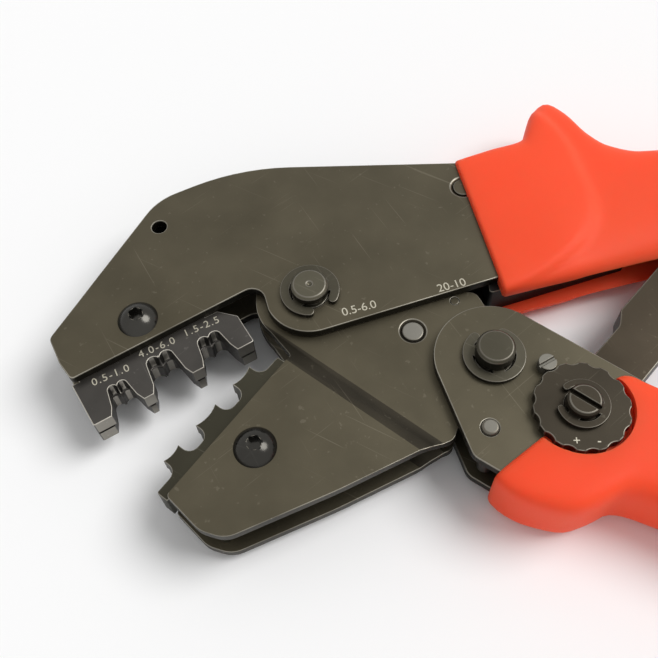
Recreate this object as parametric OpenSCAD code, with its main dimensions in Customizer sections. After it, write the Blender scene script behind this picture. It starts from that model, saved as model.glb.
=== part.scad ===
// Ratchet lever crimping tool, lying flat and open.
// Every outline is drawn about the main pivot, which is the point [0, 0], with the tool's middle
// plane at height 0. The last module lifts the whole tool onto the floor and centres it.

/* [Overall] */
// Length from the nose to the end of the fixed grip
tool_l = 220; // [205:1:240]
// Thickness of every stamped plate
plate_t = 2; // [1.7:0.1:2.3]
// Thickness of the dies, which is the gap between the frame plates
die_t = 7; // [6:0.25:8]
// Side play between the outer plates and the layer that swings between them
side_play = 0.15; // [0.1:0.05:0.3]
// Running clearance of a bore on its pin
run_clear = 0.05; // [0.03:0.01:0.1]
// Clearance of a fixed shank in its hole
fix_clear = 0.03; // [0.02:0.01:0.1]

/* [Linkage] */
// Angle that the moving jaw closes through
close_a = 21.5; // [20:0.25:21.5]
// Handle pivot, to the right of the main pivot
handle_x = 33.1; // [31:0.1:36]
// Handle pivot, below the main pivot
handle_drop = 14.4; // [13:0.1:16]
// Arm end on the eccentric, to the right of the handle pivot
arm_end_x = 14.1; // [13:0.1:15]
// Arm end on the eccentric, below the handle pivot
arm_end_drop = 11.2; // [10:0.1:12]
// Arm pivot in the fixed handle, to the right of the main pivot
arm_top_x = 90; // [86:0.5:92]
// Arm pivot in the fixed handle, above the main pivot
arm_top_rise = 21; // [20:0.5:22.5]

/* [Pivot pins] */
// Diameter of the main and handle pivot pins
pin_d = 7; // [6:0.25:8]
// Diameter of a pin's head on the back
pin_head_d = 11; // [9:0.5:12]
// Thickness of the retaining clips
clip_t = 1; // [0.8:0.1:1.2]
// Outside diameter of the two pin clips
clip_d = 11.3; // [10.5:0.1:13]
// Height of the main pin above the front plate
main_proud = 3; // [2:0.25:4]
// Height of the handle pin above the front plate
handle_proud = 4; // [2:0.25:5]
// Diameter of the arm's upper pin
arm_pin_d = 6; // [5:0.25:7]

/* [Dies] */
// Length of both dies
die_l = 32.4; // [31.5:0.1:34]
// Direction of the fixed die's face, up to the right
die_a = 31; // [29:0.5:33]
// Depth of the fixed die below its plate edge
die_show = 9.5; // [8.5:0.25:11]
// Height of the moving die's anvils above its plate edge
anvil_h = 5.4; // [4.6:0.1:5.6]
// Gap between tooth tips and notch floors when shut
shut_gap = 0.5; // [0.3:0.05:0.8]
// Head diameter of the die screws
screw_head_d = 7.6; // [7:0.1:8.5]
// Thread diameter of the die screws
screw_d = 4; // [3:0.5:5]

/* [Frame] */
// Radius of the frame plate round the main pivot
lobe_r = 8.6; // [8:0.1:8.8]
// Diameter of the tapped locator hole
locator_d = 3; // [2.5:0.1:4]
// Diameter of the rivets
rivet_d = 4; // [3:0.25:5]

/* [Handle] */
// Radius of the handle plate round its pivot
handle_r = 10.7; // [10:0.1:11.5]
// Radius of the adjusting wheel
wheel_r = 8.4; // [7.8:0.1:8.8]
// Thickness of the adjusting wheel
wheel_t = 2; // [1.5:0.1:2.5]
// Number of scallops on the wheel
wheel_n = 14; // [10:1:18]
// Throw of the eccentric
ecc = 0.5; // [0.2:0.1:0.8]

/* [Grips] */
// Full thickness of both grips
grip_t = 16; // [15:0.5:18]
// Width of the fixed grip near its end
grip_w = 20; // [18:0.5:22]
// Clearance between a grip and the steel inside it
grip_fit = 0.1; // [0.05:0.05:0.3]

/* [Ratchet] */
// Tip radius of the ratchet sector on the arm
sector_r = 8.3; // [7.8:0.1:8.6]
// Height of the ratchet teeth
tooth_h = 0.8; // [0.6:0.1:1]
// Number of ratchet teeth
tooth_n = 7; // [5:1:8]
// Gap between the pawl's tip and the tooth tips
pawl_gap = 0.3; // [0.2:0.05:0.5]

/* [Hidden] */
$fn = 48;
eps = 0.01;

// Layers: outer plates from in_z to out_z, jaw plates inside them
in_z = die_t / 2;
out_z = in_z + plate_t;
jaw_out_z = in_z - side_play;
jaw_in_z = jaw_out_z - plate_t;
arm_t = 2 * (in_z - 0.5);
mid_h = grip_t / 2;

// Colours as the finished tool shows them
steel = [0.36, 0.34, 0.29];
dark_steel = [0.22, 0.21, 0.19];
bright_steel = [0.62, 0.61, 0.57];
grip_red = [0.93, 0.25, 0.14];

// Plane geometry
function polar(r, a) = r * [cos(a), sin(a)];
function turn(p, a) = [p.x * cos(a) - p.y * sin(a), p.x * sin(a) + p.y * cos(a)];
function unit(v) = v / norm(v);
function angle_of(v) = atan2(v.y, v.x);
function xy(p) = [p.x, p.y];
function left_of(v) = [-v.y, v.x];
function arc(c, r, a0, a1, n) = [for (i = [0 : n]) c + polar(r, a0 + (a1 - a0) * i / n)];
function short_turn(a) = (a + 540) % 360 - 180;

// A corner at p, between the points before and after it, rounded with radius r
function corner(before, p, after, r, n = 7) = let (u = unit(before - p), v = unit(after - p),
        half = acos(u * v) / 2, c = p + unit(u + v) * r / sin(half), reach = r / tan(half),
        a0 = angle_of(p + u * reach - c), a1 = angle_of(p + v * reach - c))
    arc(c, r, a0, a0 + short_turn(a1 - a0), n);

// A closed outline from points [x, y] or [x, y, corner radius]
function rounded(pts) = let (n = len(pts)) [for (i = [0 : n - 1]) let (p = pts[i])
    each len(p) < 3 ? [p] : corner(xy(pts[(i + n - 1) % n]), xy(p), xy(pts[(i + 1) % n]), p[2])];

// An outline without points that repeat the one before them
function no_twins(pts) = let (n = len(pts)) [for (i = [0 : n - 1])
    if (norm(pts[i] - pts[(i + 1) % n]) > 0.05) pts[i]];

// Pivots
main_p = [0, 0];
handle_p = [handle_x, -handle_drop];
arm_low_p = handle_p + [arm_end_x, -arm_end_drop];
arm_top_p = [arm_top_x, arm_top_rise];
wheel_p = arm_low_p + polar(ecc, 135);

// Points along the dies: u along the closed die faces from the nose, v up into the fixed die
die_p = [-38.2, -25.9];
function die_pt(u, v) = die_p + turn([u, v], die_a);
// The same point on the moving jaw, which stands open by the closing angle
function jaw_pt(u, v) = turn(die_pt(u, v), close_a);
die_mid = die_l * 0.4877;
seam_v = -shut_gap - 2.4;

// Fixed frame
nose_x = -48.3;
frame_end_x = nose_x + tool_l;
core_slope = 11;
function core_y(x) = 20.8 + (x - 68) * tan(core_slope);
core_end_x = frame_end_x - 8;
lower_a = 18.1;
lobe_out = polar(lobe_r, lower_a - 90);
function lower_edge(x) = lobe_out.y + (x - lobe_out.x) * tan(lower_a);
frame_outline = rounded([[nose_x, -9.1, 1.5], [-31.4, 23, 12], [-15, 31, 45], [38, 31, 20],
    [64, core_y(64) + 8, 60], [core_end_x, core_y(core_end_x) + 6.5, 5],
    [core_end_x, core_y(core_end_x) - 6.5, 5], [98, 17.2, 60], [58, lower_edge(58), 40],
    each arc(main_p, lobe_r, lower_a - 90, -155, 16), concat(die_pt(39.2, die_show), 2.6),
    concat(die_pt(0.2, die_show), 1), [-45.6, -14.3, 5]]);
locator_p = [-30.3, 16.2];
anchor_p = [30.7, 24.6];
spacer_rivets = [[42, lower_edge(42) + 3.2], [55.5, lower_edge(55.5) + 3.2]];
end_rivet_p = [core_end_x - 14, core_y(core_end_x - 14)];
frame_rivet_points = concat([anchor_p, end_rivet_p], spacer_rivets);

// Moving jaw
jaw_lobe_r = 10.5;
jaw_pivot_r = 8;
jaw_outline = rounded([concat(jaw_pt(0.3, seam_v), 0.8), [-17.6, -45.6, 5], [-13.2, -47, 5],
    [5, -39.1, 90], [21.5, -31, 5], [25.2, -29.4, 2], [28.5, -20], handle_p + [6, -3],
    handle_p + [2, 7], [31.6, 0.4, 2], [23, 2.6, 6], [8, 7], [-8, 6], [-9.5, -4.5, 3],
    concat(jaw_pt(die_l + 1.2, seam_v), 1.2)]);
jaw_rivet_p = [19.1, -7.6];
spring_hook_p = [27.3, -1.2];
joggle_a = -37.5;
joggle_out = 13.4;
joggle_in = 9.2;

// Moving handle
handle_top_a = -38.5;
handle_left_a = -73.4;
pawl_p = [31.2, -28.2];
grip_start = [59.5, -31.9];
grip_bend = [100, -52];
grip_end = [frame_end_x - 27, -95.5];
function bow(t) = grip_start * (1 - t) * (1 - t) + 2 * grip_bend * t * (1 - t) + grip_end * t * t;
function bow_dir(t) = unit((grip_bend - grip_start) * (1 - t) + (grip_end - grip_bend) * t);
function bow_side(t, w) = bow(t) + left_of(bow_dir(t)) * w;
function bow_line(t0, t1, w0, w1, n) = [for (i = [0 : n]) let (s = i / n, t = t0 + (t1 - t0) * s)
    bow_side(t, w0 + (w1 - w0) * s)];
handle_core_w = 7;
handle_core = concat(bow_line(0, 0.93, handle_core_w + 2.5, 6, 10),
    bow_line(0.93, 0, -6, -handle_core_w, 10));
handle_outline = no_twins(concat(handle_core,
    rounded([bow_side(0, -handle_core_w), [43.5, -41, 12], [34, -37.4, 20], [27.9, -33.3, 3],
        handle_p + polar(handle_r, handle_left_a - 90)]),
    arc(handle_p, handle_r, handle_left_a + 270, handle_top_a + 90, 28)));
handle_rivet_points = [for (t = [0.5, 0.62]) bow(t)];
lock_p = wheel_p + polar(wheel_r + 1.4, 119);

// Thrust arm, along its own axis from the eccentric to its upper pivot
arm_axis = arm_top_p - arm_low_p;
arm_l = norm(arm_axis);
arm_a = angle_of(arm_axis);
ecc_r = 4.4;
arm_eye_r = 7;
// The upper eye is a slot, because the linkage is opened at that pivot
arm_slot_l = 3;
arm_slot_a = 163;

// Ratchet
pawl_axis = pawl_p - arm_low_p;
pawl_a = angle_of(pawl_axis);
pawl_l = norm(pawl_axis) - sector_r - pawl_gap;
pawl_t = 4;
pawl_pin_d = 3.2;
sector_step = 6;
sector_start = (pawl_a - arm_a + 360) % 360 + 9;
root_r = sector_r - tooth_h;
arm_outline = concat([[9, -4.3], [arm_l - 14, -4.4]], arc([arm_l, 0], arm_eye_r, -105, 100, 20),
    rounded([[arm_l - 4, 6.8], [arm_l - 9, 6.8], [23.6, 6.8, 1.5], [20.6, 5.1, 2.5], [9, 5.1]]),
    arc([0, 0], root_r, 45, sector_start, 14),
    [for (i = [0 : tooth_n - 1]) each [polar(sector_r, sector_start + (i + 0.5) * sector_step),
        polar(root_r, sector_start + (i + 1) * sector_step)]],
    arc([0, 0], root_r, sector_start + (tooth_n + 0.5) * sector_step, 322, 14));
spring_post_p = [43.6, -38];
post_r = 1;
hook_pin_r = 0.85;
pawl_tail_l = 4;
tail_a = -97;
pawl_tail = polar(pawl_tail_l, tail_a);
tail_hole_r = 0.6;

// Grip outlines
upper_grip_outline = rounded([[29.6, 30.9, 2.6], [43.7, 36.2, 1.6], [46.1, 45.8, 3.4], [50.8, 49.2, 3.4],
    [57.4, 38.9, 9], [65, 33.4, 12], [112, core_y(112) + grip_w / 2 + 0.6, 90],
    [frame_end_x, core_y(frame_end_x) + grip_w / 2 - 0.6, 8.5],
    [frame_end_x, core_y(frame_end_x) - grip_w / 2 + 0.6, 8.5],
    [112, core_y(112) - grip_w / 2 - 0.6, 90], [65, 6.8, 60], [36.4, -0.6, 2.8], [33.6, 9, 30],
    [31.2, 22, 40]]);
recess_r = wheel_r + 0.6;
lower_grip_outline = concat(bow_line(0.12, 0.93, 10.2, 10, 12),
    arc(bow(0.93), 10, angle_of(bow_dir(0.93)) + 75, angle_of(bow_dir(0.93)) - 75, 14),
    bow_line(0.93, 0.08, -10, -10.2, 12),
    rounded([bow_side(0.05, -10), [50.8, -39.9, 8], [43.4, -43.6, 8], [34, -40.4, 7], [30.3, -37.2, 2.4],
        [37.8, -30.8, 2.6], [53.4, -17.5, 1.9], [58.2, -18.5, 8], bow_side(0.08, 10.2)]));

// Floor and centre of the whole tool
left_x = min([for (p = frame_outline) p.x]);
right_x = max([for (p = upper_grip_outline) p.x]);
top_y = max([for (p = upper_grip_outline) p.y]);
bottom_y = min([for (p = lower_grip_outline) p.y]);
centre = [(left_x + right_x) / 2, (top_y + bottom_y) / 2];

module lift() { translate([-centre.x, -centre.y, mid_h]) children(); }
module slab(z0, z1) { translate([0, 0, z0]) linear_extrude(z1 - z0) children(); }
module at(p, z = 0) { translate([p.x, p.y, z]) children(); }
module hole(p, r) { translate(p) circle(r); }

// A loft through slices of an outline: each slice, square to X, is a superellipse as wide as the
// outline is there, and the slices thin out towards a round end
function crossings(pts, x) = let (n = len(pts)) [for (i = [0 : n - 1]) let (p = pts[i], q = pts[(i + 1) % n])
    if ((p.x - x) * (q.x - x) < 0) p.y + (x - p.x) * (q.y - p.y) / (q.x - p.x)];
function bulge(v) = sign(v) * sqrt(abs(v));
function slice(pts, x, half_t, sides) = let (ys = crossings(pts, x), low = min(ys), high = max(ys))
    [for (k = [0 : sides - 1]) let (a = 360 * (k + 0.5) / sides)
        [x, (low + high) / 2 + (high - low) / 2 * bulge(cos(a)), half_t * bulge(sin(a))]];
function round_end(d, r) = d >= r ? 1 : sqrt(1 - pow(1 - d / r, 2));
module outline_loft(outline, half_t, front_r, end_r, steps) {
    sides = 24;
    x0 = min([for (p = outline) p.x]);
    x1 = max([for (p = outline) p.x]);
    span = x1 - x0;
    // Stations crowd together at the two ends and over the shaped first third
    along = concat([0.0012, 0.004, 0.01, 0.018], [for (i = [1 : steps]) 0.018 + 0.31 * i / steps],
        [for (i = [1 : 9]) 0.328 + 0.612 * i / 9], [0.955, 0.97, 0.982, 0.991, 0.997, 0.9995]);
    rings = [for (f = along) let (x = x0 + span * f, taper = 0.35 + 0.65 * round_end(x1 - x, end_r))
        slice(outline, x, half_t * round_end(x - x0, front_r) * taper, sides)];
    count = len(rings);
    faces = concat([[for (k = [sides - 1 : -1 : 0]) k]], [for (i = [0 : count - 2], k = [0 : sides - 1])
        each [[i * sides + k, i * sides + (k + 1) % sides, (i + 1) * sides + (k + 1) % sides],
            [i * sides + k, (i + 1) * sides + (k + 1) % sides, (i + 1) * sides + k]]],
        [[for (k = [0 : sides - 1]) (count - 1) * sides + k]]);
    polyhedron([for (r = rings) each r], [for (f = faces) [for (k = [len(f) - 1 : -1 : 0]) f[k]]], 4);
}

// A coil spring between two pins, with an open loop round each of them
module coil(from, to, loop_a, loop_b, lead_a, lead_b, mean_r, wire_r, turns) {
    axis = to - from;
    length = norm(axis);
    per_turn = 12;
    count = turns * per_turn;
    sides = 6;
    function spot(i) = let (a = 360 * i / per_turn) [lead_a + (length - lead_a - lead_b) * i / count,
        mean_r * cos(a), mean_r * sin(a)];
    path = concat([for (a = [70 : 29 : 360]) [loop_a * cos(a), loop_a * sin(a), 0]],
        [for (i = [0 : count]) spot(i)],
        [for (a = [180 : 29 : 470]) [length + loop_b * cos(a), loop_b * sin(a), 0]]);
    last = len(path) - 1;
    function along(i) = unit(path[min(i + 1, last)] - path[max(min(i, last) - 1, 0)]);
    function carried(s, t) = unit(s - t * (s * t));
    carry = [for (i = 0, s = [0, 0, 1]; i <= last; i = i + 1, s = carried(s, along(i))) s];
    points = [for (i = [0 : last], k = [0 : sides - 1]) let (s = carry[i], w = cross(along(i), s),
        a = 360 * k / sides) path[i] + (s * cos(a) + w * sin(a)) * wire_r];
    faces = concat([[for (k = [0 : sides - 1]) k]], [for (i = [0 : last - 1], k = [0 : sides - 1])
        each [[i * sides + k, (i + 1) * sides + k, (i + 1) * sides + (k + 1) % sides],
            [i * sides + k, (i + 1) * sides + (k + 1) % sides, i * sides + (k + 1) % sides]]],
        [[for (k = [sides - 1 : -1 : 0]) last * sides + k]]);
    at(from) rotate([0, 0, angle_of(axis)]) polyhedron(points, faces, 4);
}

// A headed pivot pin: head on the back, clip groove and chamfered end on the front
module headed_pin(d, head_d, head_t, proud, groove_z, centre_mark) {
    r = d / 2;
    chamfer = 0.5;
    groove_in = 0.7;
    top = out_z + proud;
    difference() {
        union() {
            translate([0, 0, -out_z]) cylinder(h = out_z + top - chamfer, r = r);
            translate([0, 0, top - chamfer]) cylinder(h = chamfer, r1 = r, r2 = r - chamfer);
            translate([0, 0, -out_z - head_t]) cylinder(h = head_t, d = head_d);
        }
        translate([0, 0, groove_z]) difference() {
            cylinder(h = clip_t + fix_clear, r = r + 1);
            translate([0, 0, -eps]) cylinder(h = clip_t + 1, r = r - groove_in);
        }
        if (centre_mark > 0) translate([0, 0, top - centre_mark])
            cylinder(h = centre_mark + eps, r1 = 0, r2 = centre_mark);
    }
}

// An open retaining clip: a round-ended ring with three lugs that reach into the pin's groove
module clip(d, pin, open_a, z) {
    groove_r = pin / 2 - 0.7 + fix_clear;
    ring_r = pin / 2 + 0.35;
    tip_r = (d / 2 - ring_r) / 2;
    gap_a = 33;
    slab(z, z + clip_t) rotate(open_a) difference() {
        union() {
            polygon(no_twins(concat(arc([0, 0], d / 2, gap_a, 360 - gap_a, 48),
                arc(polar(ring_r + tip_r, -gap_a), tip_r, -gap_a, 180 - gap_a, 8),
                arc([0, 0], ring_r, 360 - gap_a, gap_a, 48),
                arc(polar(ring_r + tip_r, gap_a), tip_r, 180 + gap_a, 360 + gap_a, 8))));
            for (a = [70, 180, 290]) rotate(a) translate([groove_r, -1.1])
                square([d / 2 - groove_r - 0.6, 2.2]);
        }
        circle(groove_r);
    }
}

// A button head screw: domed head with a six-sided socket, and its shank through to the back
module button_screw() {
    head_h = screw_head_d * 0.29;
    dome_r = (screw_head_d * screw_head_d / 4 + head_h * head_h) / (2 * head_h);
    difference() {
        union() {
            translate([0, 0, -out_z]) cylinder(h = 2 * out_z + eps, d = screw_d);
            intersection() {
                translate([0, 0, out_z]) cylinder(h = head_h, d = screw_head_d);
                translate([0, 0, out_z + head_h - dome_r]) sphere(dome_r);
            }
        }
        translate([0, 0, out_z + 0.6]) cylinder(h = head_h, d = screw_head_d * 0.38, $fn = 6);
    }
}

// Frame plates, with their pivot, screw, rivet and locator holes
// A small countersink round a rivet, below the plate's face
module countersink() {
    translate([0, 0, -0.5]) cylinder(h = 0.5 + eps, r1 = rivet_d / 2, r2 = rivet_d / 2 + 0.6);
}
module frame_plate() {
    difference() {
        polygon(frame_outline);
        circle(pin_d / 2 + fix_clear);
        hole(arm_top_p, arm_pin_d / 2 + fix_clear);
        hole(upper_screw_p, screw_d / 2 + fix_clear);
        hole(locator_p, locator_d / 2);
        for (p = frame_rivet_points) hole(p, rivet_d / 2 + fix_clear);
    }
}
module frame_plate_front() {
    color(steel) lift() difference() {
        slab(in_z, out_z) frame_plate();
        for (p = frame_rivet_points) at(p, out_z) countersink();
    }
}
module frame_plate_back() { color(steel) lift() slab(-out_z, -in_z) frame_plate(); }

// Bar that keeps the plates apart along the handle's lower edge, and a block at its far end
module frame_spacer() {
    color(dark_steel) lift() slab(-in_z, in_z) difference() {
        union() {
            polygon(rounded([[34, lower_edge(34) - 1.8, 0.6], [34, lower_edge(34) + 7, 1],
                [60, lower_edge(60) + 6, 1], [62.4, lower_edge(62.4) - 1.8, 0.6]]));
            at(end_rivet_p) rotate(core_slope) square([14, 10], center = true);
        }
        for (p = concat(spacer_rivets, [end_rivet_p])) hole(p, rivet_d / 2 + fix_clear);
    }
}
module frame_rivets() {
    color(steel) lift() for (p = frame_rivet_points) at(p, -out_z) cylinder(h = 2 * out_z, d = rivet_d);
}

// Dies. A nest has a flared mouth and a top of two lobes that rolls the terminal's wings inwards
nests = [[6.75, 3.15, 1.85, 5.7], [15.8, 3.9, 2.6, 7.1], [25.5, 3.5, 2.3, 5.9]];
function nest(c, mouth, top, h, wide) = let (t = top + wide, m = mouth + wide, r = t / 2)
    concat([[c - m, -eps - 1], [c - m, 0], [c - t - 0.55, 1.7]], arc([c - r, h - wide - r], r, 180, 25, 7),
        [[c, h - wide - 0.55]], arc([c + r, h - wide - r], r, 155, 0, 7),
        [[c + t + 0.55, 1.7], [c + m, 0], [c + m, -eps - 1]]);
module upper_die_face(lift_v, wide) {
    difference() {
        polygon(rounded([[0, lift_v, 0.4], [-0.25, die_show], [1.2, die_show], [1.2, die_show + 10, 1],
            [27, die_show + 10, 1], [27, die_show], [die_l - 2.9, die_show], [die_l, die_show - 3],
            [die_l, lift_v, 0.4]]));
        for (n = nests) polygon(nest(n[0], n[1], n[2], n[3], wide));
        translate([die_mid, die_show + 5.1]) circle(screw_d / 2 + fix_clear);
    }
}
module upper_die() {
    color(bright_steel) lift() at(die_p) rotate(die_a) {
        slab(0.2, in_z) upper_die_face(0, 0);
        slab(-0.4, 0.2) upper_die_face(0.7, 0.5);
        slab(-in_z, -0.4) upper_die_face(0, 0.5);
    }
}
upper_screw_p = die_pt(die_mid, die_show + 5.1);
module upper_die_screw() { color(dark_steel) lift() at(upper_screw_p) rotate(40) button_screw(); }

// The moving die: anvils with hollow tops that enter the nests, and round notches for the teeth
anvil_top_v = seam_v + anvil_h;
// Radius at the foot of an anvil, which makes the notch beside it round
anvil_foot = 1.8;
module lower_die_face(drop) {
    floor_v = -shut_gap;
    difference() {
        union() {
            polygon(rounded([[0, seam_v], [0, floor_v, 0.4], [die_l, floor_v, 0.4], [die_l, seam_v],
                [die_l - 1.4, seam_v], [die_l - 1.4, seam_v - 11, 1], [1.4, seam_v - 11, 1], [1.4, seam_v]]));
            for (n = nests) let (c = n[0], w = n[2], foot = w + anvil_foot) polygon(concat(
                [[c - foot, floor_v - 0.5]], arc([c - foot, floor_v + anvil_foot], anvil_foot, 270, 360, 6),
                arc([c, anvil_top_v - drop + 2.2 * w], sqrt(5.84) * w, 270 - 24.4, 270 + 24.4, 6),
                arc([c + foot, floor_v + anvil_foot], anvil_foot, 180, 270, 6), [[c + foot, floor_v - 0.5]]));
        }
        translate([die_mid, seam_v - 6.4]) circle(screw_d / 2 + fix_clear);
    }
}
module lower_die() {
    color(bright_steel) lift() rotate(close_a) at(die_p) rotate(die_a) {
        slab(0.2, in_z) lower_die_face(0);
        slab(-in_z, 0.2) lower_die_face(0.5);
    }
}
lower_screw_p = jaw_pt(die_mid, seam_v - 6.4);
module lower_die_screw() { color(dark_steel) lift() at(lower_screw_p) rotate(10) button_screw(); }

// Pivot pins and clips
module main_pivot_pin() {
    color(steel) lift() headed_pin(pin_d, pin_head_d, mid_h - out_z, main_proud, out_z, 0.6);
}
module main_pivot_clip() { color(dark_steel) lift() clip(clip_d, pin_d, -57, out_z); }
module arm_pivot_pin() { color(steel) lift() at(arm_top_p, -out_z) cylinder(h = 2 * out_z, d = arm_pin_d); }

// Grips: lofts over the plates, hollow for the steel, slotted where the arm swings
module grown(d) { offset(delta = d) children(); }
module upper_grip() {
    color(grip_red) lift() difference() {
        outline_loft(upper_grip_outline, grip_t / 2, 0.1, 9, 26);
        slab(-out_z - grip_fit, out_z + grip_fit) grown(grip_fit) polygon(frame_outline);
        slab(-in_z, in_z) polygon([[20, -12], [20, 8], [60, 22], [105, 34], [105, 8], [70, -4]]);
    }
}
grip_axis_a = angle_of(bow_dir(0));
module lower_grip() {
    outline = [for (p = lower_grip_outline) turn(p - grip_start, -grip_axis_a)];
    color(grip_red) lift() difference() {
        at(grip_start) rotate(grip_axis_a) outline_loft(outline, grip_t / 2, 7, 9, 26);
        slab(-grip_t, grip_t) hole(wheel_p, recess_r);
        slab(-out_z - grip_fit, out_z + grip_fit) grown(grip_fit) polygon(handle_outline);
        slab(-in_z, in_z) polygon([arm_low_p + [-12, -5], arm_low_p + [0, -7.5], [88, -40.5], [96, -30],
            [60, -8], [40, -14]]);
    }
}

// Jaw plates: one outline, pressed into a joggle so that the jaw end lies in the outer layer
module joggle_section() {
    reach = 70;
    polygon([[reach, in_z], [joggle_out, in_z], [joggle_in, jaw_in_z], [-reach, jaw_in_z],
        [-reach, jaw_out_z], [joggle_in + 0.5, jaw_out_z], [joggle_out + 0.5, out_z], [reach, out_z]]);
}
module jaw_plate() {
    intersection() {
        slab(0, out_z + 1) difference() {
            union() {
                polygon(jaw_outline);
                circle(jaw_lobe_r);
                hole(handle_p, jaw_pivot_r);
            }
            circle(pin_d / 2 + run_clear);
            hole(handle_p, pin_d / 2 + run_clear);
            hole(jaw_rivet_p, rivet_d / 2 + fix_clear);
            hole(spring_hook_p, hook_pin_r + fix_clear);
            hole(lower_screw_p, screw_d / 2 + fix_clear);
        }
        rotate([0, 0, joggle_a - 90]) rotate([90, 0, 0]) translate([0, 0, -90])
            linear_extrude(180) joggle_section();
    }
}
module jaw_plate_front() {
    color(steel) lift() difference() {
        jaw_plate();
        at(jaw_rivet_p, jaw_out_z) countersink();
    }
}
module jaw_plate_back() { color(steel) lift() mirror([0, 0, 1]) jaw_plate(); }
module jaw_spacers() {
    color(dark_steel) lift() slab(-jaw_in_z, jaw_in_z) for (p = [main_p, handle_p])
        translate(p) difference() {
            circle(pin_d / 2 + 2.5);
            circle(pin_d / 2 + run_clear);
        }
}
module jaw_rivet() {
    color(steel) lift() at(jaw_rivet_p) {
        translate([0, 0, -jaw_out_z]) cylinder(h = 2 * jaw_out_z, d = rivet_d);
        translate([0, 0, -jaw_in_z]) cylinder(h = 2 * jaw_in_z, d = rivet_d + 2);
    }
}

// Handle plates
module handle_plate(bolt_r) {
    difference() {
        polygon(handle_outline);
        hole(handle_p, pin_d / 2 + fix_clear);
        hole(wheel_p, bolt_r + fix_clear);
        hole(pawl_p, pawl_pin_d / 2 + fix_clear);
        hole(spring_post_p, post_r + fix_clear);
        for (p = handle_rivet_points) hole(p, rivet_d / 2 + fix_clear);
    }
}
journal_r = 3;
shoulder_r = ecc_r + ecc + 0.1;
module handle_plate_front() {
    color(steel) lift() slab(in_z, out_z) difference() {
        handle_plate(journal_r);
        hole(lock_p, 1 + fix_clear);
    }
}
module handle_plate_back() { color(steel) lift() slab(-out_z, -in_z) handle_plate(shoulder_r); }
module handle_spacer() {
    color(dark_steel) lift() slab(-in_z, in_z) difference() {
        polygon(concat(bow_line(0.46, 0.66, 5, 5, 4), bow_line(0.66, 0.46, -5, -5, 4)));
        for (p = handle_rivet_points) hole(p, rivet_d / 2 + fix_clear);
    }
}
module handle_rivets() {
    color(steel) lift() for (p = handle_rivet_points) at(p, -out_z) cylinder(h = 2 * out_z, d = rivet_d);
}
module handle_pivot_pin() {
    color(steel) lift() at(handle_p) headed_pin(pin_d, pin_head_d, 2, handle_proud, out_z, 0);
}
module handle_pivot_clip() { color(dark_steel) lift() at(handle_p) clip(clip_d, pin_d, 98, out_z); }

// Eccentric bolt, put in from the back: head, shoulder, eccentric for the arm, front journal with a slot
bolt_top = out_z + wheel_t + 2.6;
module eccentric_bolt() {
    color(steel) lift() difference() {
        union() {
            at(wheel_p, -out_z - 1.8) cylinder(h = 1.8, r = 6.5);
            at(wheel_p, -out_z) cylinder(h = plate_t, r = shoulder_r);
            at(arm_low_p, -in_z) cylinder(h = 2 * in_z, r = ecc_r);
            at(wheel_p, in_z) cylinder(h = bolt_top - in_z - 0.4, r = journal_r);
            at(wheel_p, bolt_top - 0.4) cylinder(h = 0.4, r1 = journal_r, r2 = journal_r - 0.4);
        }
        at(wheel_p, out_z + wheel_t) difference() {
            cylinder(h = clip_t + fix_clear, r = journal_r + 1);
            translate([0, 0, -eps]) cylinder(h = clip_t + 1, r = journal_r - 0.7);
        }
        at(wheel_p, bolt_top - 1) rotate(-37) translate([-4, -0.45, 0]) cube([8, 0.9, 2]);
    }
}
module adjusting_wheel() {
    lock_dir = angle_of(lock_p - wheel_p);
    color(steel) lift() at(wheel_p) slab(out_z, out_z + wheel_t) difference() {
        circle(wheel_r);
        circle(journal_r + fix_clear);
        for (i = [0 : wheel_n - 1]) rotate(lock_dir + i * 360 / wheel_n)
            translate([norm(lock_p - wheel_p), 0]) circle(1.65 + 0.2);
    }
}
module wheel_clip() { color(dark_steel) lift() at(wheel_p) clip(9.2, 2 * journal_r, 160, out_z + wheel_t); }
module lock_screw() {
    color(bright_steel) lift() at(lock_p) difference() {
        union() {
            translate([0, 0, in_z]) cylinder(h = plate_t + eps, r = 1);
            translate([0, 0, out_z]) cylinder(h = wheel_t, r = 1.65);
        }
        translate([0, 0, out_z + wheel_t - 0.6]) rotate(30) translate([-2, -0.25, 0]) cube([4, 0.5, 1]);
    }
}

// Thrust arm: ratchet sector round the eccentric, a stepped shank, and the slotted upper eye
module thrust_arm() {
    slot_r = arm_pin_d / 2 + 0.4;
    color(dark_steel) lift() at(arm_low_p) rotate(arm_a) slab(-arm_t / 2, arm_t / 2) difference() {
        polygon(no_twins(arm_outline));
        circle(ecc_r + run_clear);
        translate([arm_l, 0]) rotate(arm_slot_a - arm_a) polygon(no_twins(concat(
            arc([0, 0], slot_r, -90, -270, 24), arc([arm_slot_l, 0], slot_r, 90, -90, 24))));
    }
}

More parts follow.
